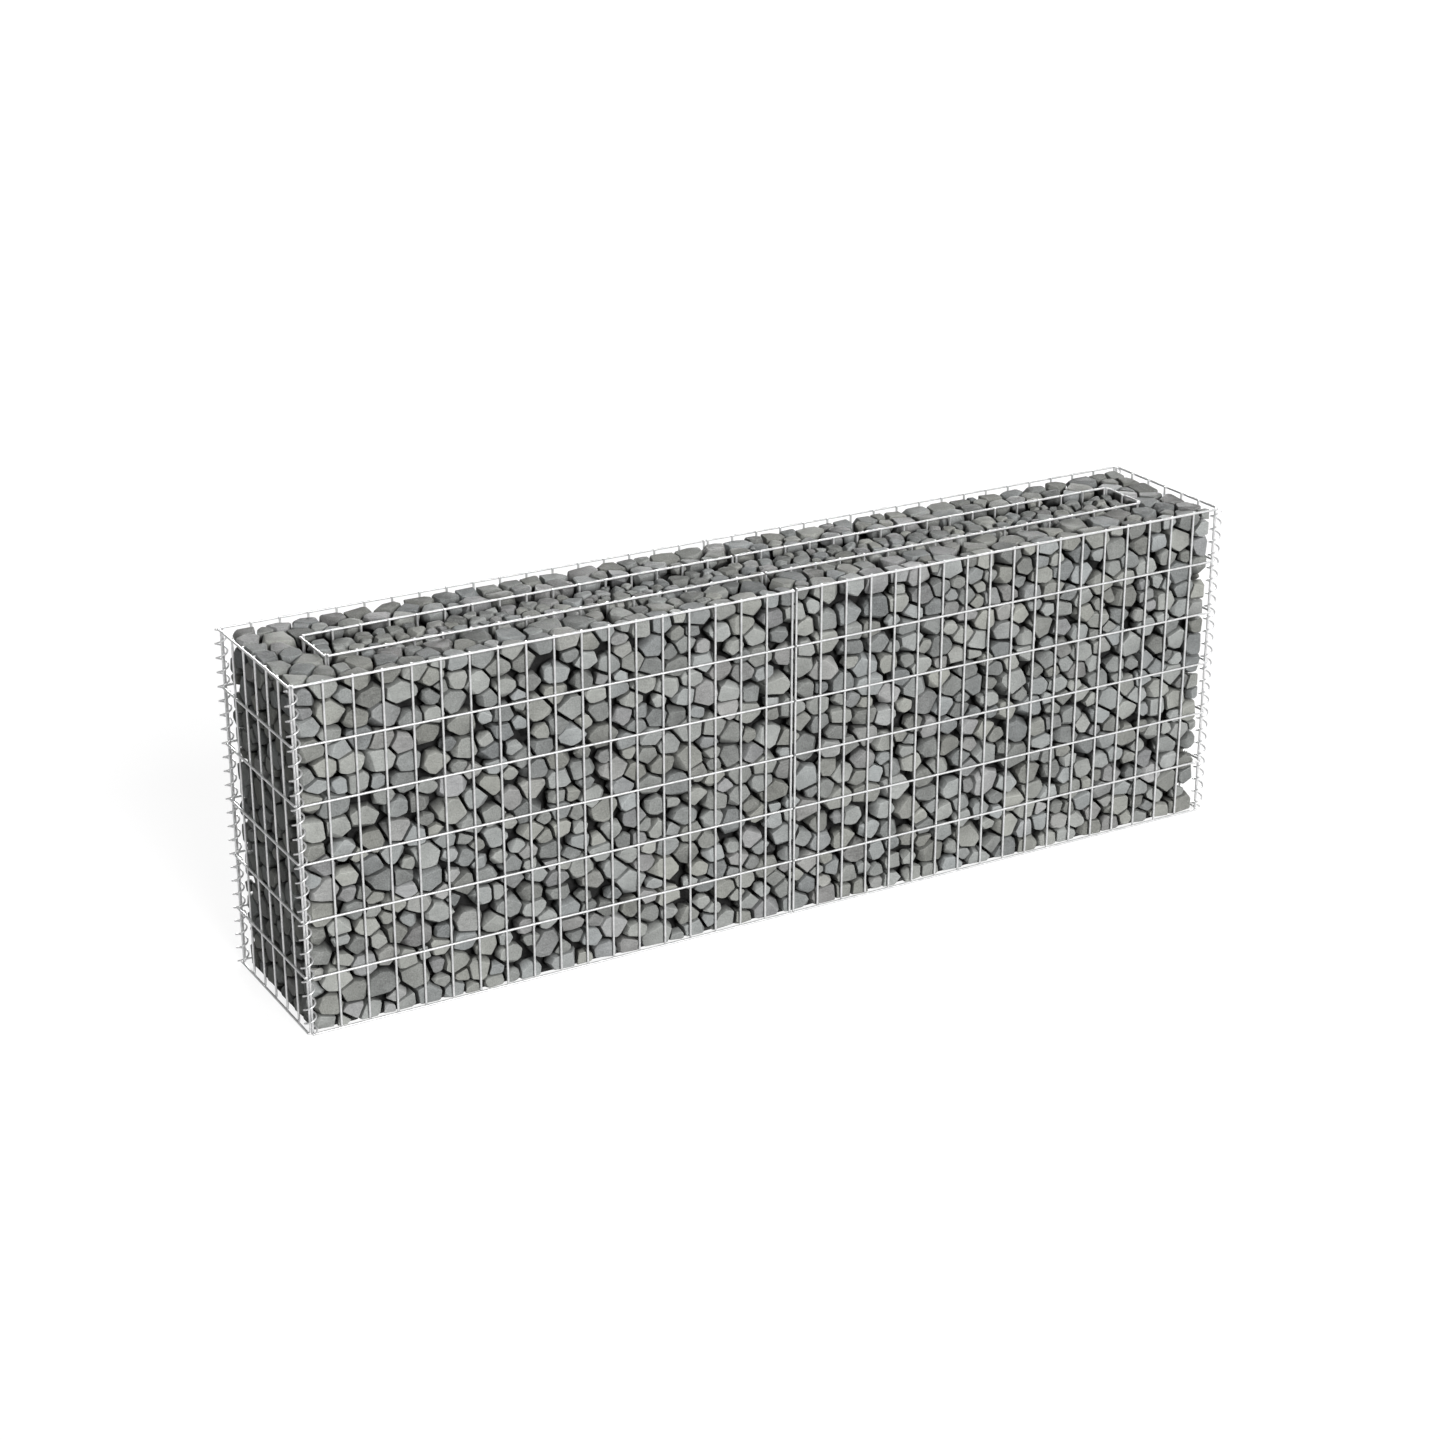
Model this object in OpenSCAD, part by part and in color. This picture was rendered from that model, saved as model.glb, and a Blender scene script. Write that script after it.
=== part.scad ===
// Gabion raised bed: welded wire panels laced at the corners, a wall of stones between an outer and an
// inner cage, and a planting trough down the middle. The origin is the middle of the footprint on the
// ground, with +X along the bed, +Y to its back and +Z up.

/* [Bed] */
// Length of the bed between its corner axes
bed_length = 1800; // [1200:100:3000]
// Depth of the bed between its corner axes
bed_depth = 300; // [260:10:600]
// Height of the wire panels
bed_height = 600; // [300:10:1000]
// Thickness of the stone wall, from the outer uprights to the inner ones
wall_thickness = 100; // [60:5:120]
// Depth of the gravel that tops the soil
mulch_depth = 50; // [20:5:100]
// How far the stones end below the top of the panels
stone_drop = 4; // [0:1:30]
// How far the gravel ends below the top of the panels
mulch_drop = 10; // [0:1:60]

/* [Wire panels] */
// Thickness of the panel wires
wire_d = 4; // [3:0.5:5]
// Spacing aimed at between upright wires
upright_spacing = 50; // [40:5:100]
// Spacing aimed at between level wires
level_spacing = 100; // [50:10:150]
// How far crossing wires are fused into each other
weld_depth = 0.3; // [0.2:0.1:0.5]
// Distance between the facing end wires of the two panels on a long side
joint_spacing = 8; // [6:1:15]

/* [Corner spirals] */
// Thickness of the spiral wire
spiral_wire_d = 3; // [2:0.5:4]
// Room between the spiral and the panel ends that it laces together
spiral_clearance = 2.2; // [1:0.2:6]
// Rise aimed at for each turn
spiral_pitch = 25; // [20:1:50]

/* [Clearances] */
// Gap between two wires that lie against each other
wire_gap = 0.3; // [0.2:0.1:0.6]
// Gap between the wires and what fills the cage
fill_gap = 0.4; // [0.2:0.1:0.8]
// Gap between neighbouring blocks of fill
block_gap = 0.3; // [0.2:0.1:0.6]

/* [Hidden] */
wire_sides = 8;
spiral_sides = 5;
spiral_steps = 12;
wire_color = "silver";
spiral_color = "gainsboro";
stone_color = "gray";

corner_x = bed_length / 2;
corner_y = bed_depth / 2;
trough_x = corner_x - wall_thickness;
trough_y = corner_y - wall_thickness;

// Level wires lie outside the uprights, sunk into them by the weld
wire_r = wire_d / 2;
level_offset = wire_d - weld_depth;
level_count = max(1, round((bed_height - wire_d) / level_spacing));
level_rise = (bed_height - wire_d) / level_count;
// Two end wires meet at each corner, side by side, this far from its axis
corner_inset = (wire_d + wire_gap) / sqrt(2);

// The spiral runs round the ends of both panels, with whole turns between level wires
panel_reach = norm([level_offset + wire_r, corner_inset - wire_r]);
spiral_r = panel_reach + spiral_clearance + spiral_wire_d / 2;
spiral_turns = max(1, round(level_rise / spiral_pitch));
spiral_rise = level_rise / spiral_turns;
spiral_slope = atan(spiral_rise / (2 * PI * spiral_r));
spiral_reach = spiral_r + spiral_wire_d / 2;
// It crosses over a level wire at this angle, and rests on it
crossing_angle = acos(level_offset / spiral_r);
crossing_lean = norm([tan(spiral_slope), sin(crossing_angle)]) / sin(crossing_angle);
crossing_rise = (wire_r + spiral_wire_d / 2 + wire_gap) * crossing_lean;
spiral_start = wire_r + crossing_rise - spiral_rise * crossing_angle / 360;
spiral_first = ceil((spiral_wire_d - spiral_start) * spiral_steps / spiral_rise);
spiral_last = floor((bed_height - spiral_wire_d - spiral_start) * spiral_steps / spiral_rise);

// Faces of the fill, clear of the wires on each side
outer_x = corner_x - wire_r - fill_gap;
outer_y = corner_y - wire_r - fill_gap;
inner_x = trough_x + level_offset + wire_r + fill_gap;
inner_y = trough_y + level_offset + wire_r + fill_gap;
soil_x = trough_x - wire_r - fill_gap;
soil_y = trough_y - wire_r - fill_gap;
stone_top = bed_height - stone_drop;
mulch_top = bed_height - mulch_drop;
soil_top = mulch_top - mulch_depth;

bay_count = 4;
bay_length = 2 * (inner_x - block_gap) / bay_count;

SIDES = ["left", "right"];
CORNERS = ["front_right", "back_right", "back_left", "front_left"];

// A straight wire with flats, standing on the origin
module wire(length) {
    rotate([0, 0, 180 / wire_sides])
        cylinder(h = length, d = wire_d / cos(180 / wire_sides), $fn = wire_sides);
}

// A welded panel along +X between two end uprights, with its level wires on the -Y side
module mesh_panel(first_x, last_x) {
    cells = max(1, round((last_x - first_x) / upright_spacing));
    for (i = [0:cells])
        translate([first_x + i * (last_x - first_x) / cells, 0, 0]) wire(bed_height);
    for (k = [0:level_count])
        translate([first_x - wire_r, -level_offset, wire_r + k * level_rise])
            rotate([0, 90, 0]) wire(last_x - first_x + wire_d);
}

// One of the two panels of a long side, for a cage whose corners are at cage_x and cage_y
module long_panel(side, cage_x, cage_y) {
    color(wire_color) translate([0, -cage_y, 0])
        if (side == "left") mesh_panel(corner_inset - cage_x, -joint_spacing / 2);
        else mesh_panel(joint_spacing / 2, cage_x - corner_inset);
}

// The panel that closes an end of a cage
module end_panel(side, cage_x, cage_y) {
    color(wire_color) rotate([0, 0, side == "left" ? -90 : 90]) translate([0, -cage_x, 0])
        mesh_panel(corner_inset - cage_y, cage_y - corner_inset);
}

// A back panel is a front panel turned half round, so its sides swap
module back_panel(side, cage_x, cage_y) {
    rotate([0, 0, 180]) long_panel(side == "left" ? "right" : "left", cage_x, cage_y);
}

// A ring of points round the spiral's wire at step i, square to its path
function spiral_ring(i) =
    let (
        turn = i * 360 / spiral_steps,
        outward = [cos(turn), sin(turn), 0],
        along = [-sin(turn) * cos(spiral_slope), cos(turn) * cos(spiral_slope), sin(spiral_slope)],
        across = cross(along, outward),
        middle = spiral_r * outward + [0, 0, spiral_start + i * spiral_rise / spiral_steps]
    )
    [for (k = [0:spiral_sides - 1])
        let (a = k * 360 / spiral_sides)
        middle + spiral_wire_d / 2 * (cos(a) * outward + sin(a) * across)];

// The lacing wire of the front right corner, about the corner's axis
module spiral() {
    rings = [for (i = [spiral_first:spiral_last]) spiral_ring(i)];
    last = len(rings) - 1;
    n = spiral_sides;
    walls = [for (i = [0:last - 1]) for (k = [0:n - 1])
        let (a = i * n + k, b = i * n + (k + 1) % n)
        each [[a, a + n, b], [b, a + n, b + n]]];
    ends = [[for (k = [0:n - 1]) k], [for (k = [n - 1:-1:0]) last * n + k]];
    polyhedron([for (ring = rings) each ring], concat(walls, ends), convexity = 10);
}

module corner_spiral(quarter) {
    turn = quarter * 90;
    side_x = quarter < 2 ? 1 : -1;
    side_y = quarter == 1 || quarter == 2 ? 1 : -1;
    color(spiral_color) translate([side_x * corner_x, side_y * corner_y, 0]) rotate([0, 0, turn]) spiral();
}

// A block of fill between two corners of its plan, from its bottom to its top
module block(low, high, bottom, top) {
    translate([low.x, low.y, bottom]) cube([high.x - low.x, high.y - low.y, top - bottom]);
}

module front_stones(i) {
    first_x = block_gap - inner_x + (i - 1) * bay_length;
    color(stone_color)
        block([first_x, -outer_y], [first_x + bay_length - block_gap, -inner_y], 0, stone_top);
}

module back_stones(i) {
    mirror([0, 1, 0]) front_stones(i);
}

// The stones of an end fill both of its corners, round the spirals
module end_stones(side) {
    color(stone_color) mirror([side == "left" ? 1 : 0, 0, 0]) difference() {
        block([inner_x, -outer_y], [outer_x, outer_y], 0, stone_top);
        for (side_y = [-1, 1])
            translate([corner_x, side_y * corner_y, -1]) cylinder(h = bed_height, r = spiral_reach + fill_gap, $fn = 48);
    }
}

// Half of what fills the trough, from a bottom to a top
module trough_half(side, bottom, top) {
    mirror([side == "left" ? 1 : 0, 0, 0])
        block([block_gap / 2, -soil_y], [soil_x, soil_y], bottom, top);
}

module planting_soil(side) {
    color("saddlebrown") trough_half(side, 0, soil_top);
}

module gravel_mulch(side) {
    color("dimgray") trough_half(side, soil_top + block_gap, mulch_top);
}

for (s = SIDES) {
    long_panel(s, corner_x, corner_y);
    back_panel(s, corner_x, corner_y);
    end_panel(s, corner_x, corner_y);
    long_panel(s, trough_x, trough_y);
    back_panel(s, trough_x, trough_y);
    end_panel(s, trough_x, trough_y);
    end_stones(s);
    planting_soil(s);
    gravel_mulch(s);
}
for (i = [0:3]) {
    corner_spiral(i);
}
for (i = [1:bay_count]) {
    front_stones(i);
    back_stones(i);
}
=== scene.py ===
"""A gabion raised bed: cages of galvanised wire, a wall of broken grey stone, and a planting trough.

Lengths are in metres, in the CAD model's frame: +X along the bed, +Y to its back and +Z up.
"""

import math
import random

import bpy
import numpy as np
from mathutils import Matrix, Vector


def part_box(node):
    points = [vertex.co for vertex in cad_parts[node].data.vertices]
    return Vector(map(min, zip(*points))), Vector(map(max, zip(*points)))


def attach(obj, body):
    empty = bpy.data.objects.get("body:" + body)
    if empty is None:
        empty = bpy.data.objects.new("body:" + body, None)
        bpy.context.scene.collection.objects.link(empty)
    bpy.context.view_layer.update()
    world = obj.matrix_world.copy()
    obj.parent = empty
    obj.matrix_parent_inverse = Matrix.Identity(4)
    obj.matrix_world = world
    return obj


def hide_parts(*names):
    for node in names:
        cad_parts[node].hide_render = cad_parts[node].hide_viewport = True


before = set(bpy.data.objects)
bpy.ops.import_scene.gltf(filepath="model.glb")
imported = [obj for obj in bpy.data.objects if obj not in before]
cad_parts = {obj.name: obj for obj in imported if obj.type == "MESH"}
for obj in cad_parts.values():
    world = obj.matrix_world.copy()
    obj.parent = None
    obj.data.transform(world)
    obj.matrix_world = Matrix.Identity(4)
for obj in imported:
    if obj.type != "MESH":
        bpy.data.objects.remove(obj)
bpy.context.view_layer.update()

# Wire
WIRE_D = 0.004
WIRE_SIDES = 12
UPRIGHT_SPACING = 0.05
LEVEL_SPACING = 0.1
WELD_LENGTH = 0.0056
WELD_HEIGHT = 0.0042
SPIRAL_WIRE_D = 0.003
SPIRAL_SIDES = 8
SPIRAL_STEPS = 20
SPIRAL_PITCH = 0.0248

# Stones: how large they are, and how they lie
LARGE, MIDDLE, SMALL = (0.0225, 0.0265), (0.0165, 0.0215), (0.0115, 0.0145)
CORE = (0.02, 0.027)
# The hidden core stones and the heart take a very dark tone: painted shade seen through the joints.
CORE_SHADE_TONE = -0.85
GRAVEL, PEBBLE = (0.014, 0.022), (0.008, 0.012)
FLATNESS = 0.81
SEAT = 0.7
BALL = 1.52
CLOSENESS = 0.9
JOINT = (0.0036, 0.0072)
EDGE_WEAR = 0.001
SHORTEST_EDGE = 0.0024
SETBACK = 0.006
LIFT = 0.0012
# Painted shade: the stones darken between these two depths behind the outside of the wall.
LIT_DEPTH, DARK_DEPTH = 0.002, 0.017
HEART_INSET = 0.03
HEART_BELOW = 0.024
CHIPS_INSET, CHIPS_DEPTH = 0.009, 0.005
NEIGHBOURS = 12


def deselect():
    bpy.ops.object.select_all(action="DESELECT")


def select_only(pieces):
    deselect()
    for piece in pieces:
        piece.select_set(True)
    bpy.context.view_layer.objects.active = pieces[0]


def apply_modifiers(piece):
    select_only([piece])
    for modifier in list(piece.modifiers):
        bpy.ops.object.modifier_apply(modifier=modifier.name)


def join(pieces, name):
    """Makes one piece of several, with its origin at the frame's."""
    select_only(pieces)
    if len(pieces) > 1:
        bpy.ops.object.join()
    bpy.ops.object.transform_apply(location=True, rotation=True, scale=True)
    piece = bpy.context.object
    piece.name = piece.data.name = name
    return piece


def face_outwards(piece):
    select_only([piece])
    bpy.ops.object.mode_set(mode="EDIT")
    bpy.ops.mesh.select_all(action="SELECT")
    bpy.ops.mesh.normals_make_consistent(inside=False)
    bpy.ops.object.mode_set(mode="OBJECT")


# ---------------------------------------------------------------- finishes


class Field:
    """An output of a node. Arithmetic on it adds Math nodes to its finish."""

    def __init__(self, finish, socket):
        self.finish = finish
        self.socket = socket

    def math(self, operation, *values):
        return self.finish.add("ShaderNodeMath", {"operation": operation}, dict(enumerate(values)))

    def __add__(self, other):
        return self.math("ADD", self, other)

    def __sub__(self, other):
        return self.math("SUBTRACT", self, other)

    def __rsub__(self, other):
        return self.math("SUBTRACT", other, self)

    def __mul__(self, other):
        return self.math("MULTIPLY", self, other)

    __radd__ = __add__
    __rmul__ = __mul__


class Finish:
    """A material whose nodes are added by name, settings and inputs."""

    def __init__(self, name):
        self.material = bpy.data.materials.new(name)
        self.material.use_nodes = True
        self.tree = self.material.node_tree
        self.shader = self.tree.nodes["Principled BSDF"]

    def add(self, kind, settings, inputs, output=0):
        node = self.tree.nodes.new(kind)
        for name, value in settings.items():
            if name == "stops":
                self.set_stops(node.color_ramp, value)
            else:
                setattr(node, name, value)
        for name, value in inputs.items():
            self.feed(node.inputs[name], value)
        return Field(self, node.outputs[output])

    def set_stops(self, ramp, stops):
        while len(ramp.elements) < len(stops):
            ramp.elements.new(0.5)
        for element, (position, value) in zip(ramp.elements, stops):
            element.position = position
            element.color = (value, value, value, 1)

    def feed(self, socket, value):
        if isinstance(value, Field):
            self.tree.links.new(value.socket, socket)
        else:
            socket.default_value = value

    def place(self):
        return self.add("ShaderNodeTexCoord", {}, {}, "Object")

    def noise(self, where, scale, detail=3.0, roughness=0.5):
        inputs = {"Vector": where, "Scale": scale, "Detail": detail, "Roughness": roughness}
        return self.add("ShaderNodeTexNoise", {}, inputs, "Fac")

    def ramp(self, field, *stops):
        return self.add("ShaderNodeValToRGB", {"stops": stops}, {"Fac": field})

    def mix(self, factor, a, b, blend="MIX"):
        settings = {"data_type": "RGBA", "blend_type": blend}
        return self.add("ShaderNodeMix", settings, {0: factor, 6: a, 7: b}, 2)

    def bump(self, height, depth, under=None):
        inputs = {"Height": height, "Distance": depth, "Strength": 1.0}
        if under is not None:
            inputs["Normal"] = under
        return self.add("ShaderNodeBump", {}, inputs)

    def surface(self, **values):
        for name, value in values.items():
            self.feed(self.shader.inputs[name.replace("_", " ")], value)
        return self.material


def grey(value, red=0.0, blue=0.0):
    """A near-grey colour, with a little more or less of red and blue than of green."""
    return (value * (1 + red), value, value * (1 + blue), 1)


def zinc(name, tone):
    """Hot-dip zinc on drawn wire: dull, pale, faintly mottled."""
    finish = Finish(name)
    where = finish.place()
    spangle = finish.add("ShaderNodeTexVoronoi", {}, {"Vector": where, "Scale": 260.0}, "Distance")
    cloud = finish.noise(where, 90.0, 4.0)
    grain = finish.noise(where, 1600.0, 2.0)
    mottle = finish.ramp(cloud + (spangle - 0.4) * 0.35, (0.3, 0.0), (0.7, 1.0))
    colour = finish.mix(mottle, grey(tone * 0.86, -0.01, 0.012), grey(tone * 1.08))
    return finish.surface(
        Base_Color=colour,
        Metallic=0.75,
        Roughness=cloud * 0.22 + 0.34,
        Normal=finish.bump(cloud * 0.6 + grain * 0.4, 0.0002),
    )


def broken_stone(name, tone):
    """Broken grey rock. Each stone carries its own tone, tint and grain in the attribute stone_mix.

    The attribute's alpha falls from 1 on the outside to 0 deep in the joints, where the rock is darkened as painted
    shade.
    """
    finish = Finish(name)
    own = finish.add("ShaderNodeAttribute", {"attribute_name": "stone_mix"}, {}, "Color")
    own_tone = finish.add("ShaderNodeSeparateColor", {}, {"Color": own}, "Red")
    own_tint = finish.add("ShaderNodeSeparateColor", {}, {"Color": own}, "Green")
    own_grain = finish.add("ShaderNodeSeparateColor", {}, {"Color": own}, "Blue")
    painted_light_by_depth = finish.add("ShaderNodeAttribute", {"attribute_name": "stone_mix"}, {}, "Alpha")
    shift = finish.add("ShaderNodeVectorMath", {"operation": "SCALE"}, {0: own, "Scale": 7.0})
    where = finish.add("ShaderNodeVectorMath", {"operation": "ADD"}, {0: finish.place(), 1: shift})
    layers = finish.add("ShaderNodeVectorMath", {"operation": "MULTIPLY"}, {0: where, 1: (0.35, 0.35, 1.6)})

    cloud = finish.noise(where, 34.0, 4.0, 0.6)
    bands = finish.noise(layers, 150.0, 4.0, 0.6)
    grain = finish.noise(where, 420.0, 3.0, 0.65)
    fleck = finish.noise(where, 900.0, 1.0)
    pits = finish.add("ShaderNodeTexVoronoi", {"feature": "F1"}, {"Vector": where, "Scale": 210.0}, "Distance")

    cool = grey(tone, -0.05, 0.005)
    warm = grey(tone, -0.012, -0.085)
    body = finish.mix(finish.ramp(own_tint, (0.0, 0.0), (1.0, 1.0)), cool, warm)
    violet = finish.ramp(own_grain, (0.78, 0.0), (0.95, 0.6))
    body = finish.mix(violet, body, grey(tone * 0.97, 0.02, 0.02))
    level = own_tone * 0.7 + 0.66 + (cloud - 0.5) * 0.7 + (bands - 0.5) * own_grain * 0.5 + (grain - 0.5) * 1.0
    # Painted shade: the rock darkens deep in the joints.
    level = level * (painted_light_by_depth * 0.92 + 0.08)
    level_fleck = grey(0.5, 0.0, -0.03)
    shade = finish.add("ShaderNodeCombineColor", {}, {"Red": level, "Green": level, "Blue": level})
    colour = finish.mix(1.0, body, shade, "MULTIPLY")
    colour = finish.mix(finish.ramp(fleck, (0.63, 0.0), (0.72, 0.3)) * painted_light_by_depth, colour, level_fleck)
    colour = finish.mix(finish.ramp(fleck, (0.28, 0.45), (0.36, 0.0)), colour, grey(0.05))

    rough = finish.bump(cloud * 0.5 + bands * 0.5, 0.0022)
    rough = finish.bump(pits * 0.5 + grain * 0.5, 0.0009, rough)
    return finish.surface(Base_Color=colour, Roughness=0.86 - own_grain * 0.14, Normal=rough)


def garden_soil(name):
    finish = Finish(name)
    where = finish.place()
    clods = finish.noise(where, 70.0, 5.0, 0.65)
    crumbs = finish.noise(where, 420.0, 3.0)
    colour = finish.mix(finish.ramp(clods, (0.35, 0.0), (0.65, 1.0)), (0.018, 0.013, 0.009, 1), (0.055, 0.04, 0.028, 1))
    return finish.surface(
        Base_Color=colour, Roughness=0.95, Normal=finish.bump(clods * 0.6 + crumbs * 0.4, 0.004)
    )


# ---------------------------------------------------------------- wire


def row_of(piece, count, step):
    """Repeats a piece count times, a step apart."""
    array = piece.modifiers.new("row", "ARRAY")
    array.use_relative_offset = False
    array.use_constant_offset = True
    array.constant_offset_displace = step
    array.count = count


def straight_wire(start, end):
    """A drawn wire from start to end, with its cut ends' rims rounded off."""
    along = end - start
    deselect()
    bpy.ops.mesh.primitive_cylinder_add(
        vertices=WIRE_SIDES,
        radius=WIRE_D / 2,
        depth=along.length,
        location=(start + end) / 2,
        rotation=along.to_track_quat("Z", "Y").to_euler(),
    )
    bpy.ops.object.mode_set(mode="EDIT")
    bpy.ops.mesh.select_all(action="DESELECT")
    bpy.ops.object.mode_set(mode="OBJECT")
    wire = bpy.context.object
    for edge in wire.data.edges:
        a, b = (wire.data.vertices[v].co for v in edge.vertices)
        edge.select = abs(a.z - b.z) < WIRE_D / 4
    bpy.ops.object.mode_set(mode="EDIT")
    bpy.ops.mesh.select_mode(type="EDGE")
    bpy.ops.mesh.bevel(offset=WIRE_D * 0.14, segments=1, affect="EDGES")
    bpy.ops.object.mode_set(mode="OBJECT")
    bpy.ops.object.transform_apply(location=True, rotation=True, scale=True)
    return wire


def weld(place, outward):
    """The squashed lump where two wires are fused."""
    deselect()
    bpy.ops.mesh.primitive_ico_sphere_add(subdivisions=2, radius=0.5, location=place)
    size = Vector((WELD_LENGTH, WELD_LENGTH, WIRE_D))
    size[outward] = WELD_HEIGHT
    bpy.context.object.scale = size
    bpy.ops.object.transform_apply(location=True, rotation=True, scale=True)
    return bpy.context.object


def mesh_panel(node, name, along, finish, side):
    """A welded panel in a node's box: uprights on its inner face, level wires on its outer one.

    along is the axis that the panel runs on, and side is +1 or -1, the way it faces on the other axis.
    """
    low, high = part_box(node)
    across = 1 - along
    inner = (low if side > 0 else high)[across] + side * WIRE_D / 2
    outer = (high if side > 0 else low)[across] - side * WIRE_D / 2
    first, last = low[along] + WIRE_D / 2, high[along] - WIRE_D / 2
    bottom, top = low.z + WIRE_D / 2, high.z - WIRE_D / 2
    columns = max(1, round((last - first) / UPRIGHT_SPACING))
    rows = max(1, round((top - bottom) / LEVEL_SPACING))

    def at(length, depth, height):
        spot = Vector((0, 0, height))
        spot[along] = length
        spot[across] = depth
        return spot

    column_step = at((last - first) / columns, 0, 0)
    row_step = Vector((0, 0, (top - bottom) / rows))
    upright = straight_wire(at(first, inner, low.z), at(first, inner, high.z))
    row_of(upright, columns + 1, column_step)
    level = straight_wire(at(low[along], outer, bottom), at(high[along], outer, bottom))
    row_of(level, rows + 1, row_step)
    lump = weld(at(first, (inner + outer) / 2, bottom), across)
    row_of(lump, columns + 1, column_step)
    row_of(lump, rows + 1, row_step)
    for piece in (upright, level, lump):
        apply_modifiers(piece)
    panel = join([upright, level, lump], name)
    bpy.ops.object.shade_smooth_by_angle(angle=math.radians(35))
    panel.data.materials.append(finish)
    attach(panel, "root")
    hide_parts(node)


def corner_spiral(node, name, quarter, finish):
    """The wire that laces two panels, wound up their corner."""
    low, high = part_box(node)
    centre = (low + high) / 2
    radius = (high.x - low.x - SPIRAL_WIRE_D) / 2
    start = low.z + SPIRAL_WIRE_D / 2
    turns = (high.z - low.z - SPIRAL_WIRE_D) / SPIRAL_PITCH
    deselect()
    bpy.ops.mesh.primitive_circle_add(vertices=SPIRAL_SIDES, radius=SPIRAL_WIRE_D / 2, fill_type="NOTHING")
    ring = bpy.context.object
    slope = math.atan(SPIRAL_PITCH / (2 * math.pi * radius))
    ring.rotation_euler = (math.pi / 2 + slope, 0, 0)
    ring.location = (radius, 0, 0)
    bpy.ops.object.transform_apply(location=True, rotation=True, scale=True)
    screw = ring.modifiers.new("wind", "SCREW")
    screw.angle = turns * 2 * math.pi
    screw.screw_offset = turns * SPIRAL_PITCH
    screw.steps = screw.render_steps = round(turns * SPIRAL_STEPS)
    screw.use_merge_vertices = False
    apply_modifiers(ring)
    bpy.ops.object.mode_set(mode="EDIT")
    bpy.ops.mesh.select_all(action="DESELECT")
    bpy.ops.mesh.select_mode(type="EDGE")
    bpy.ops.mesh.select_non_manifold()
    bpy.ops.mesh.edge_face_add()
    bpy.ops.object.mode_set(mode="OBJECT")
    ring.rotation_euler = (0, 0, math.radians(90 * quarter))
    ring.location = (centre.x, centre.y, start)
    spiral = join([ring], name)
    face_outwards(spiral)
    bpy.ops.object.shade_smooth_by_angle(angle=math.radians(60))
    spiral.data.materials.append(finish)
    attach(spiral, "root")
    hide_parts(node)


# ---------------------------------------------------------------- stones


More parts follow.
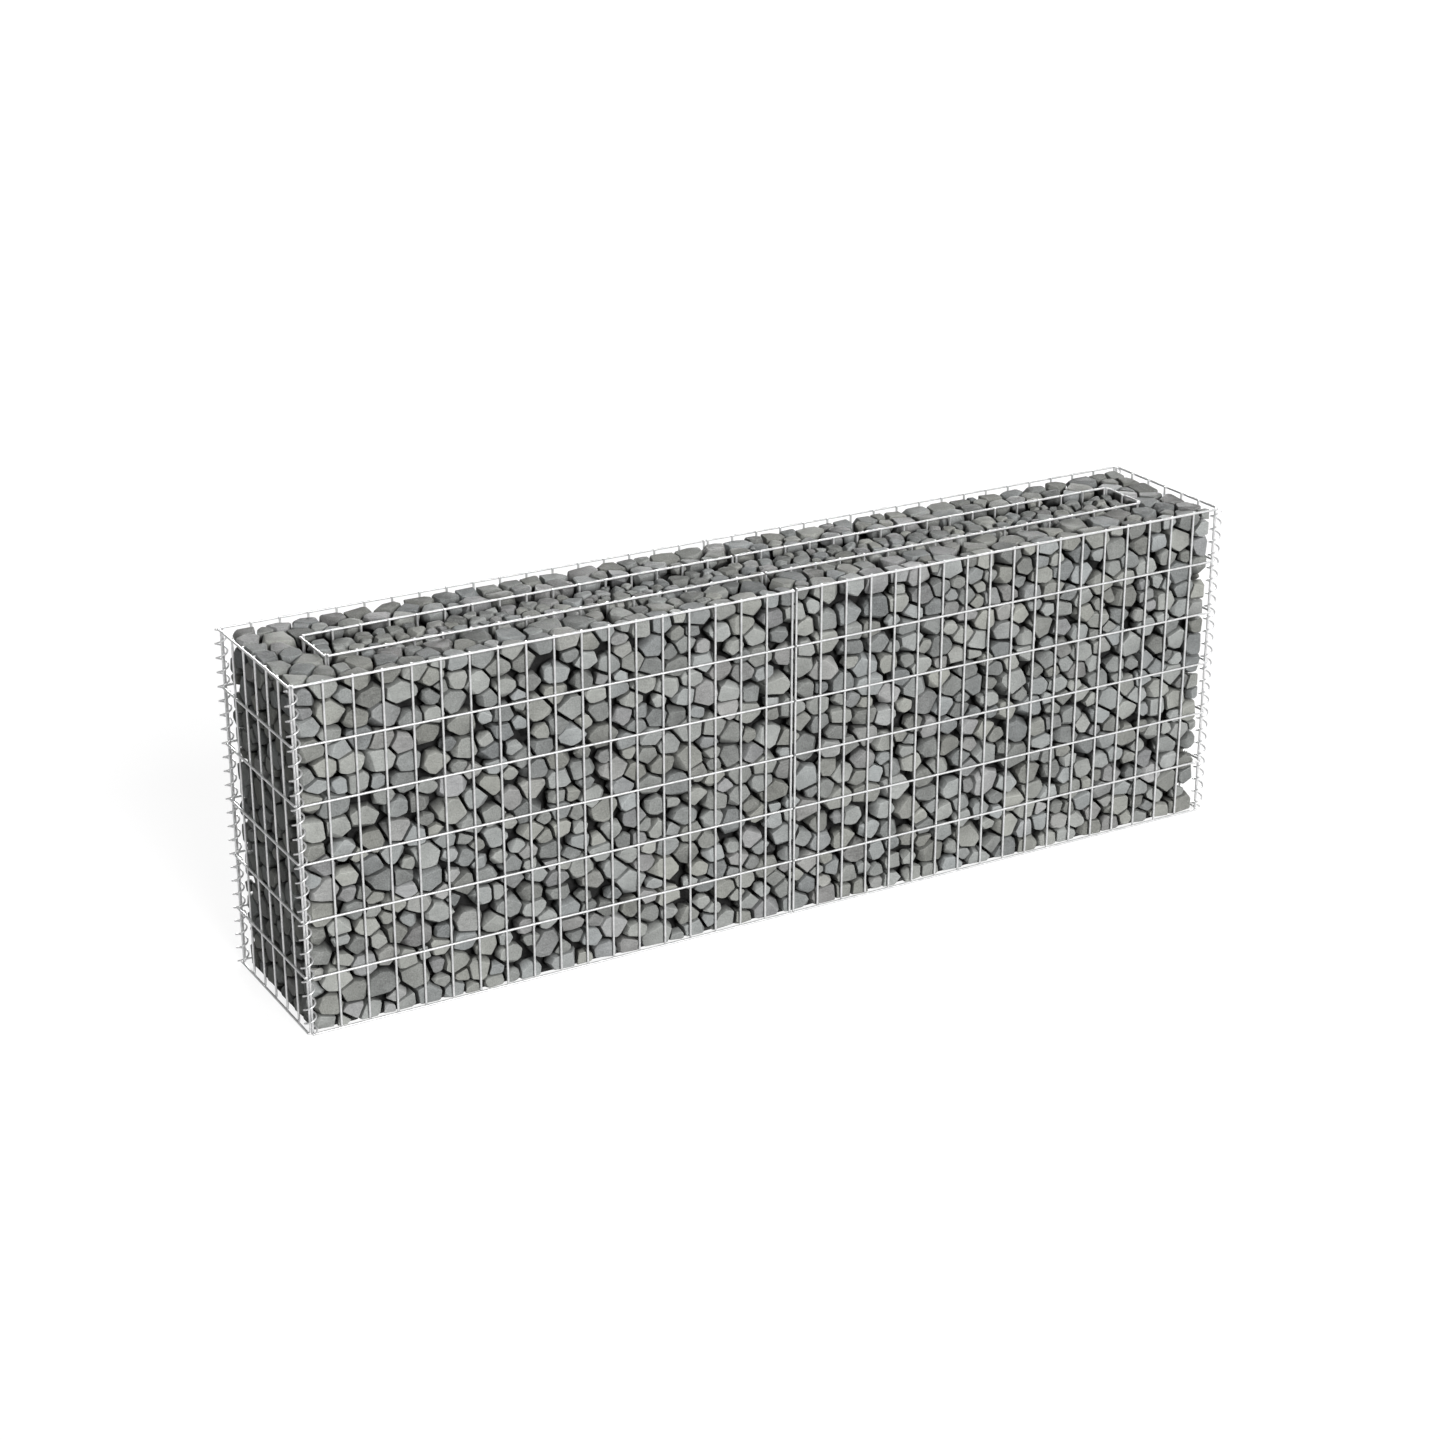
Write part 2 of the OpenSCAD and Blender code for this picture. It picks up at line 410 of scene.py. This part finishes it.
class Wall:
    """The stones of the bed as balls that don't overlap, each later cut to a stone by its neighbours.

    Heights are stretched while the balls are placed, so that the stones come out lying flat.
    """

    def __init__(self, outer, inner, trough, corner, room, top, gravel_top, soil_top):
        self.outer, self.inner, self.trough, self.corner, self.room = outer, inner, trough, corner, room
        self.top, self.gravel_top, self.soil_top = top / FLATNESS, gravel_top / FLATNESS, soil_top / FLATNESS
        self.places = np.zeros((0, 3))
        self.radii = np.zeros(0)
        self.kinds = []

    def fits(self, place, radius, closeness):
        gaps = np.linalg.norm(self.places - place, axis=1) - (self.radii + radius) * closeness
        return not len(gaps) or gaps.min() >= 0

    def throw(self, spot, sizes, tries, kind, closeness=CLOSENESS):
        """Tries places one after another and keeps those that are free."""
        for _ in range(tries):
            radius = random.uniform(*sizes)
            place = spot(radius)
            if place is not None and self.fits(place, radius, closeness):
                self.places = np.vstack([self.places, place])
                self.radii = np.append(self.radii, radius)
                self.kinds.append(kind)

    def settle(self, place, radius):
        """Pushes a place back into the ring of the wall, or gives None where it lies over the trough."""
        seat = radius * SEAT
        x, y, z = place
        x = min(max(x, seat - self.outer[0]), self.outer[0] - seat)
        y = min(max(y, self.outer[2] + seat), self.outer[1] - seat)
        z = min(max(z, seat), self.top - seat)
        if abs(x) < self.inner[0] + seat and abs(y) < self.inner[1] + seat:
            return None
        return np.array((x, y, z))

    def on_side(self, radius):
        """A place against the front, the back or an end of the cage."""
        length, depth = 2 * self.outer[0], self.outer[1] - self.outer[2]
        walk = random.uniform(0, 2 * (length + depth))
        z = random.uniform(0, self.top)
        if walk < 2 * length:
            x = walk % length - self.outer[0]
            y = -1 if walk < length else 1
        else:
            x = -1 if walk < 2 * length + depth else 1
            y = (walk - 2 * length) % depth + self.outer[2]
        return self.settle((x, y, z), radius)

    def on_rim(self, radius):
        """A place on a side, against the ground or level with the top."""
        place = self.on_side(radius)
        place[2] = random.choice((radius * SEAT, self.top - radius * SEAT))
        return place

    def on_top(self, radius):
        x = random.uniform(-self.outer[0], self.outer[0])
        y = random.uniform(self.outer[2], self.outer[1])
        return self.settle((x, y, self.top), radius)

    def in_core(self, radius):
        x = random.uniform(-self.outer[0], self.outer[0])
        y = random.uniform(self.outer[2], self.outer[1])
        return self.settle((x, y, random.uniform(0, self.top)), radius)

    def in_trough(self, radius):
        x = random.uniform(-1, 1) * (self.trough[0] - radius * SEAT)
        y = random.uniform(-1, 1) * (self.trough[1] - radius * SEAT)
        z = self.gravel_top - radius * random.uniform(0.85, 1.2)
        return np.array((x, y, max(z, self.soil_top + radius * 0.5)))

    def limits(self, index):
        """The planes of the cages that a stone stays behind, as points and outward normals."""
        x, y, _ = self.places[index]
        side_x, side_y = math.copysign(1, x), math.copysign(1, y)
        if self.kinds[index] == "gravel":
            return [
                (Vector((side_x * self.trough[0], 0, 0)), Vector((side_x, 0, 0))),
                (Vector((0, side_y * self.trough[1], 0)), Vector((0, side_y, 0))),
                (Vector((0, 0, self.gravel_top)), Vector((0, 0, 1))),
            ]
        edge_y = self.outer[1] if y > 0 else self.outer[2]
        planes = [
            (Vector((side_x * self.outer[0], 0, 0)), Vector((side_x, 0, 0))),
            (Vector((0, edge_y, 0)), Vector((0, side_y, 0))),
            (Vector((0, 0, self.top)), Vector((0, 0, 1))),
            (Vector((0, 0, LIFT)), Vector((0, 0, -1))),
        ]
        corner = Vector((side_x * self.corner[0], side_y * self.corner[1], 0))
        slant = Vector((side_x, side_y, 0)).normalized()
        planes.append((corner - slant * self.room, slant))
        if abs(x) > self.inner[0]:
            if abs(y) < self.inner[1] + 0.01:
                planes.append((Vector((side_x * self.inner[0], 0, 0)), Vector((-side_x, 0, 0))))
        else:
            planes.append((Vector((0, side_y * self.inner[1], 0)), Vector((0, -side_y, 0))))
        return planes

    def cuts(self, index):
        """The planes that shape one stone, nearest neighbours first."""
        place, radius = self.places[index], self.radii[index]
        away = self.places - place
        distance = np.linalg.norm(away, axis=1)
        distance[index] = 1
        split = (distance**2 + radius**2 - self.radii**2) / (2 * distance)
        split[index] = 1
        joint = random.uniform(*JOINT) / 2
        centre = Vector(place)
        planes = []
        for other in np.argsort(split)[:NEIGHBOURS]:
            if split[other] < radius * BALL:
                normal = Vector(away[other] / distance[other])
                planes.append((centre + normal * (split[other] - joint), normal))
        reach = radius * BALL
        for point, normal in self.limits(index):
            room = (point - centre).dot(normal)
            if room < reach:
                planes.append((point, normal))
                if room < radius:
                    planes.extend(self.facets(centre, radius, normal, room))
        return planes

    def facets(self, centre, radius, normal, room):
        """Two broken faces: one that tips a stone's flat outer side, and a steep one beside it."""
        tilt, steep = random.uniform(0.03, 0.13), random.uniform(0.5, 1.0)
        flat = max(room, radius * 0.5) * math.cos(tilt) - radius * 0.8 * math.sin(tilt)
        facets = []
        for lean, depth in ((tilt, flat), (steep, radius * random.uniform(0.86, 0.98))):
            spread = Vector([random.gauss(0, 1) for _ in range(3)])
            spread = (spread - normal * spread.dot(normal)).normalized()
            tipped = normal * math.cos(lean) + spread * math.sin(lean)
            facets.append((centre + tipped * depth, tipped))
        return facets


def cut_stone(place, radius, planes, worn, finishes):
    """Breaks one stone out of a ball: its planes cut it, short edges close up, and its edges wear off."""
    turn = [random.uniform(0, math.tau) for _ in range(3)]
    bpy.ops.mesh.primitive_ico_sphere_add(subdivisions=1, radius=radius * BALL, location=place, rotation=turn)
    stone = bpy.context.object
    for finish in finishes:
        stone.data.materials.append(finish)
    bpy.ops.object.mode_set(mode="EDIT")
    for point, normal in planes:
        bpy.ops.mesh.select_all(action="SELECT")
        bpy.ops.mesh.bisect(plane_co=point, plane_no=normal, use_fill=True, clear_outer=True)
    bpy.ops.mesh.select_all(action="SELECT")
    bpy.ops.mesh.remove_doubles(threshold=SHORTEST_EDGE)
    if worn:
        # The bevels take the lighter second finish: partly edge wear, partly painted highlight.
        bpy.ops.mesh.bevel(offset=EDGE_WEAR, segments=1, affect="EDGES", clamp_overlap=True, material=1)
    bpy.ops.object.mode_set(mode="OBJECT")
    own = stone.data.attributes.new("stone_mix", "FLOAT_COLOR", "POINT")
    # Core stones take the very dark tone of painted shade.
    mix = (random.random() if worn else CORE_SHADE_TONE, random.random(), random.random(), 1.0)
    own.data.foreach_set("color", mix * len(stone.data.vertices))
    return stone


def heart(node, across, finish):
    """The rubble in the middle of a wall and the chips under its lowest stones, that let no light by; their dark colour
    is painted shade.

    across is the axis that the wall is thin on.
    """
    low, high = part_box(node)
    bottom = low.z + LIFT
    blocks = []
    for inset, top in ((HEART_INSET, high.z - HEART_BELOW), (CHIPS_INSET, bottom + CHIPS_DEPTH)):
        start, end = low.copy(), high.copy()
        for axis in (0, 1) if across == 0 else (1,):
            start[axis] += inset
            end[axis] -= inset
        start.z, end.z = bottom, top
        deselect()
        bpy.ops.mesh.primitive_cube_add(size=1, location=(start + end) / 2, scale=end - start)
        block = bpy.context.object
        bpy.ops.object.transform_apply(location=True, rotation=True, scale=True)
        bpy.ops.object.mode_set(mode="EDIT")
        bpy.ops.mesh.subdivide(number_cuts=9)
        bpy.ops.transform.vertex_random(offset=LIFT, uniform=1, normal=0, seed=3)
        bpy.ops.object.mode_set(mode="OBJECT")
        block.data.materials.append(finish)
        own = block.data.attributes.new("stone_mix", "FLOAT_COLOR", "POINT")
        own.data.foreach_set("color", (CORE_SHADE_TONE, 0.5, 0.5, 1.0) * len(block.data.vertices))
        blocks.append(block)
    return blocks


def paint_joint_shade(piece, wall, gravel):
    """Writes into the alpha of stone_mix how near each corner of the stones lies to the outside, as painted shade that
    darkens the stones deep in the joints.
    """
    own = piece.data.attributes["stone_mix"]
    points = np.zeros(len(piece.data.vertices) * 3)
    mixes = np.zeros(len(piece.data.vertices) * 4)
    piece.data.vertices.foreach_get("co", points)
    own.data.foreach_get("color", mixes)
    x, y, z = points.reshape(-1, 3).T
    if gravel:
        depth = wall.gravel_top * FLATNESS - z
    else:
        sides = (wall.outer[0] - abs(x), wall.outer[1] - y, y - wall.outer[2], wall.top * FLATNESS - z)
        depth = np.minimum.reduce(sides)
    mixes[3::4] = np.clip((DARK_DEPTH - depth) / (DARK_DEPTH - LIT_DEPTH), 0, 1)
    own.data.foreach_set("color", mixes)


def stone_piece(wall, members, node, name, finishes, slot):
    """Cuts the stones of one node, joins them, and sets their heights back to true."""
    stones = []
    for index in members:
        deselect()
        worn = wall.kinds[index] != "core"
        stones.append(cut_stone(wall.places[index], wall.radii[index], wall.cuts(index), worn, finishes))
    piece = join(stones, name)
    piece.scale = (1, 1, FLATNESS)
    bpy.ops.object.transform_apply(location=False, rotation=False, scale=True)
    if slot == "wall_stone":
        piece = join([piece] + heart(node, 0 if "end" in node else 1, finishes[0]), name)
    face_outwards(piece)
    paint_joint_shade(piece, wall, slot == "top_gravel")
    bpy.ops.object.shade_smooth_by_angle(angle=math.radians(24))
    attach(piece, "root")
    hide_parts(node)
    return piece


def soil_block(node, name, finish):
    """Half of the soil, with a crumbly top."""
    low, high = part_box(node)
    size = high - low
    deselect()
    bpy.ops.mesh.primitive_cube_add(size=1, location=(low + high) / 2, scale=size)
    soil = bpy.context.object
    bpy.ops.object.transform_apply(location=True, rotation=True, scale=True)
    bpy.ops.object.mode_set(mode="EDIT")
    bpy.ops.mesh.select_mode(type="FACE")
    bpy.ops.mesh.select_all(action="DESELECT")
    bpy.ops.object.mode_set(mode="OBJECT")
    for face in soil.data.polygons:
        face.select = face.normal.z > 0.5
    bpy.ops.object.mode_set(mode="EDIT")
    bpy.ops.mesh.subdivide(number_cuts=40)
    bpy.ops.transform.vertex_random(offset=0.003, uniform=0.5, normal=0.5, seed=5)
    bpy.ops.object.mode_set(mode="OBJECT")
    soil.name = soil.data.name = name
    soil.data.materials.append(finish)
    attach(soil, "root")
    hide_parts(node)


# ---------------------------------------------------------------- camera, light and floor

KEY_FROM, KEY_STRENGTH = Vector((0.0, -0.80, 0.36)), 3.5
FILL_FROM, FILL_STRENGTH = Vector((0.45, 0.80, 0.07)), 4.4
SKY_STRENGTH, REFLECTED, LEFT_DIM = 0.22, 0.85, 0.2
FLOOR_TONE, FLOOR_GLOW = 0.25, 0.85


def camera():
    data = bpy.data.cameras.new("camera")
    data.sensor_width = 36
    data.lens = 69.9
    eye = bpy.data.objects.new("camera", data)
    bpy.context.scene.collection.objects.link(eye)
    eye.location = (-2.3156, -3.9176, 2.139)
    eye.rotation_euler = Vector((0.4634, 0.8040, -0.3727)).to_track_quat("-Z", "Y").to_euler()
    bpy.context.scene.camera = eye


def soft_lamp(name, source, strength):
    data = bpy.data.lights.new(name, "SUN")
    data.energy = strength
    data.angle = math.radians(25)
    lamp = bpy.data.objects.new(name, data)
    bpy.context.scene.collection.objects.link(lamp)
    lamp.rotation_euler = source.to_track_quat("Z", "Y").to_euler()


def studio():
    """Broad soft lamps from the front and from behind, an even sky, and a pale floor."""
    soft_lamp("key", KEY_FROM, KEY_STRENGTH)
    soft_lamp("fill", FILL_FROM, FILL_STRENGTH)

    world = bpy.data.worlds.new("sky")
    bpy.context.scene.world = world
    world.use_nodes = True
    nodes, links = world.node_tree.nodes, world.node_tree.links

    def math_of(operation, first, second):
        node = nodes.new("ShaderNodeMath")
        node.operation = operation
        links.new(first, node.inputs[0])
        if isinstance(second, float):
            node.inputs[1].default_value = second
        else:
            links.new(second, node.inputs[1])
        return node.outputs[0]

    path = nodes.new("ShaderNodeLightPath").outputs
    axes = nodes.new("ShaderNodeSeparateXYZ")
    links.new(nodes.new("ShaderNodeTexCoord").outputs["Generated"], axes.inputs[0])
    side = math_of("ADD", math_of("MULTIPLY", axes.outputs["X"], (1 - LEFT_DIM) / 2), (1 + LEFT_DIM) / 2)
    shine = math_of("MULTIPLY", path["Is Glossy Ray"], REFLECTED - SKY_STRENGTH)
    level = math_of("MULTIPLY", math_of("ADD", shine, SKY_STRENGTH), side)
    links.new(math_of("MAXIMUM", path["Is Camera Ray"], level), nodes["Background"].inputs["Strength"])
    nodes["Background"].inputs["Color"].default_value = (1, 1, 1, 1)

    deselect()
    bpy.ops.mesh.primitive_plane_add(size=40, location=(0, 0, -0.0005))
    floor = bpy.context.object
    floor.name = "floor"
    finish = Finish("pale_floor")
    seen = finish.add("ShaderNodeLightPath", {}, {}, "Is Camera Ray")
    shine = finish.add("ShaderNodeLightPath", {}, {}, "Is Glossy Ray")
    floor.data.materials.append(
        finish.surface(Base_Color=grey(FLOOR_TONE), Roughness=1.0, Emission_Color=grey(1.0))
    )
    glow = seen * FLOOR_GLOW + shine * (FLOOR_GLOW * REFLECTED)
    finish.feed(finish.shader.inputs["Emission Strength"], glow)


# ---------------------------------------------------------------- the bed

random.seed(26)
camera()
studio()

panel_zinc = zinc("zinc_on_panels", 0.72)
spiral_zinc = zinc("zinc_on_spirals", 0.72)
# The second, lighter finish on the stones' edges is partly wear and partly painted highlight.
stone_finishes = [broken_stone("broken_face", 0.27), broken_stone("worn_and_highlit_edge", 0.31)]
soil_finish = garden_soil("garden_soil")

for prefix in ("", "inner_"):
    for hand, turn in (("left", -1), ("right", 1)):
        mesh_panel(f"{prefix}front_mesh_{hand}", f"{prefix}front_panel_{hand}", 0, panel_zinc, -1)
        mesh_panel(f"{prefix}back_mesh_{hand}", f"{prefix}back_panel_{hand}", 0, panel_zinc, 1)
        mesh_panel(f"{prefix}end_mesh_{hand}", f"{prefix}end_panel_{hand}", 1, panel_zinc, turn)
for quarter, corner in enumerate(("front_right", "back_right", "back_left", "front_left")):
    corner_spiral(f"corner_spiral_{corner}", f"lacing_{corner}", quarter, spiral_zinc)

spiral_low, spiral_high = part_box("corner_spiral_back_right")
front_low, front_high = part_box("front_stones_bay_1")
end_low, end_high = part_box("end_stones_right")
soil_low, soil_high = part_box("planting_soil_right")
gravel_low, gravel_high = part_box("gravel_mulch_right")
wall = Wall(
    outer=(end_high.x - SETBACK, end_high.y - SETBACK, front_low.y),
    inner=(end_low.x, -front_high.y),
    trough=(gravel_high.x, gravel_high.y),
    corner=((spiral_low + spiral_high) / 2).xy,
    room=(spiral_high.x - spiral_low.x) / 2 + 0.0006,
    top=front_high.z,
    gravel_top=gravel_high.z,
    soil_top=soil_high.z,
)
wall.throw(wall.on_rim, LARGE, 60, "face")
wall.throw(wall.on_rim, MIDDLE, 700, "face")
wall.throw(wall.on_side, LARGE, 350, "face")
wall.throw(wall.on_top, LARGE, 80, "face")
wall.throw(wall.on_side, MIDDLE, 9000, "face")
wall.throw(wall.on_top, MIDDLE, 2000, "face")
wall.throw(wall.on_rim, SMALL, 500, "face")
wall.throw(wall.on_side, SMALL, 9000, "face")
wall.throw(wall.on_top, SMALL, 1500, "face")
wall.throw(wall.in_core, CORE, 4000, "core")
wall.throw(wall.in_trough, GRAVEL, 2500, "gravel")
wall.throw(wall.in_trough, PEBBLE, 2500, "gravel")

groups = {}
for index, (x, y, z) in enumerate(wall.places):
    hand = "left" if x < 0 else "right"
    if wall.kinds[index] == "gravel":
        node = f"gravel_mulch_{hand}"
    elif abs(x) > wall.inner[0]:
        node = f"end_stones_{hand}"
    else:
        side = "front" if y < 0 else "back"
        bay = min(4, 1 + int((x + wall.inner[0]) / (wall.inner[0] / 2)))
        node = f"{side}_stones_bay_{bay}"
    groups.setdefault(node, []).append(index)
for node, members in sorted(groups.items()):
    name = node.replace("stones", "rocks").replace("mulch", "stones")
    slot = "top_gravel" if "gravel" in node else "wall_stone"
    stone_piece(wall, members, node, name, stone_finishes, slot)
for hand in ("left", "right"):
    soil_block(f"planting_soil_{hand}", f"soil_{hand}", soil_finish)
print("stones", {kind: wall.kinds.count(kind) for kind in set(wall.kinds)})

scene = bpy.context.scene
scene.view_settings.view_transform = "Standard"
deselect()
